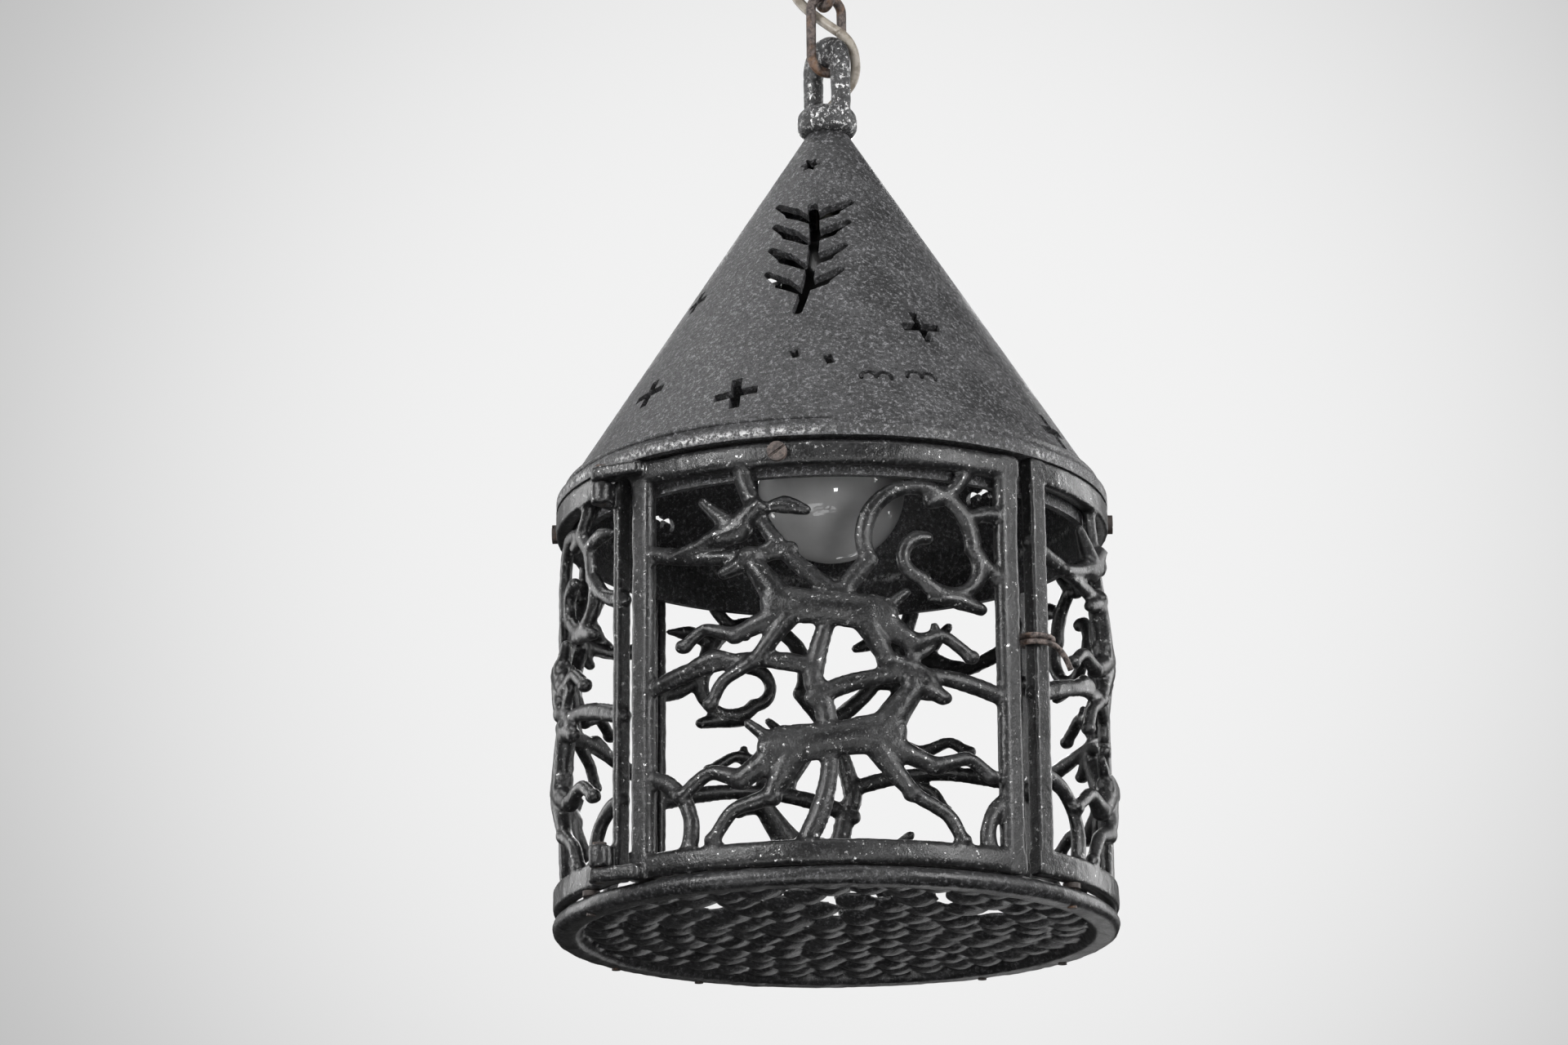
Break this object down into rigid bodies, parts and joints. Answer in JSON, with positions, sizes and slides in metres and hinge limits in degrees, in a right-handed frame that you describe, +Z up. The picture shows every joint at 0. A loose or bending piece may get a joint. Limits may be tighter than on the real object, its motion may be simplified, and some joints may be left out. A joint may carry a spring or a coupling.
{
  "type": "hanging lantern",
  "caption": "Round cast-iron hanging lantern with a pierced conical roof, openwork drum, hinged door, grille base, chain, cable and electric bulb.",
  "frame": {"origin": "centre of the ceiling plate's upper face, on the lantern's axis", "axes": "+Z up along the lantern's axis towards the ceiling, the door faces -Y, the hinge is at -X"},
  "size_m": [0.228, 0.2276, 0.4552],
  "materials": {
    "black_paint": "semi-matte black paint",
    "rusty_iron": "bare iron with a rust-brown film",
    "black_rubber": "matte",
    "cable_sheath": "cream flexible sheath, slightly soiled",
    "black_cast_iron": "sand-cast iron, semi-matte black paint worn to silver-grey on the edges",
    "plated_steel": "zinc-plated thread",
    "lampholder_black": "moulded, slightly glossy",
    "ceramic_white": "glazed ceramic",
    "brass_sleeve": "pressed brass",
    "frosted_glass": "frosted, unlit",
    "plated_cap": "pressed plated metal"
  },
  "bodies": {
    "ceiling": {"ceiling_plate": "black_paint", "ceiling_hook": "rusty_iron", "cable_grommet": "black_rubber", "cable_upper": "cable_sheath"},
    "link_upper": {"chain_link_upper": "rusty_iron", "cable_middle": "cable_sheath"},
    "link_lower": {"chain_link_lower": "rusty_iron", "cable_lower": "cable_sheath"},
    "lantern": {"top_eye": "black_cast_iron", "roof_cone": "black_cast_iron", "left_panel": "black_cast_iron", "back_panel": "black_cast_iron", "right_panel": "black_cast_iron", "base_grille": "black_cast_iron", "base_studs": "rusty_iron", "panel_screws": "rusty_iron", "threaded_tube": "plated_steel", "roof_nut": "plated_steel", "cable_core": "cable_sheath", "lampholder_cap": "lampholder_black", "lampholder_body": "lampholder_black", "lampholder_core": "ceramic_white", "lampholder_sleeve": "brass_sleeve", "bulb_glass": "frosted_glass", "bulb_cap": "plated_cap", "bulb_contact": "plated_cap"},
    "door": {"door_panel": "black_cast_iron", "door_screw": "rusty_iron", "hinge_pin_upper": "rusty_iron", "hinge_pin_lower": "rusty_iron"},
    "latch": {"latch_hook": "rusty_iron"}
  },
  "joints": [
    {"name": "link_upper_swing", "type": "hinge", "parent": "ceiling", "child": "link_upper", "pos_m": [0, 0, -0.0255], "axis": [0.9063, 0.4226, 0], "range_deg": [-30, 30], "deforming": ["cable_upper"]},
    {"name": "link_lower_swing", "type": "hinge", "parent": "link_upper", "child": "link_lower", "pos_m": [0, 0, -0.0555], "axis": [-0.4226, 0.9063, 0], "range_deg": [-30, 30], "deforming": ["cable_middle"]},
    {"name": "lantern_swing", "type": "hinge", "parent": "link_lower", "child": "lantern", "pos_m": [0, 0, -0.0857], "axis": [0.766, 0.6428, 0], "range_deg": [-25, 25], "deforming": ["cable_lower"]},
    {"name": "door_swing", "type": "hinge", "parent": "lantern", "child": "door", "pos_m": [-0.08808, -0.07792, -0.365], "axis": [0, 0, -1], "range_deg": [0, 150]},
    {"name": "latch_swing", "type": "hinge", "parent": "lantern", "child": "latch", "pos_m": [0.07964, -0.07398, -0.35365], "axis": [0, 0, -1], "range_deg": [0, 100]}
  ]
}
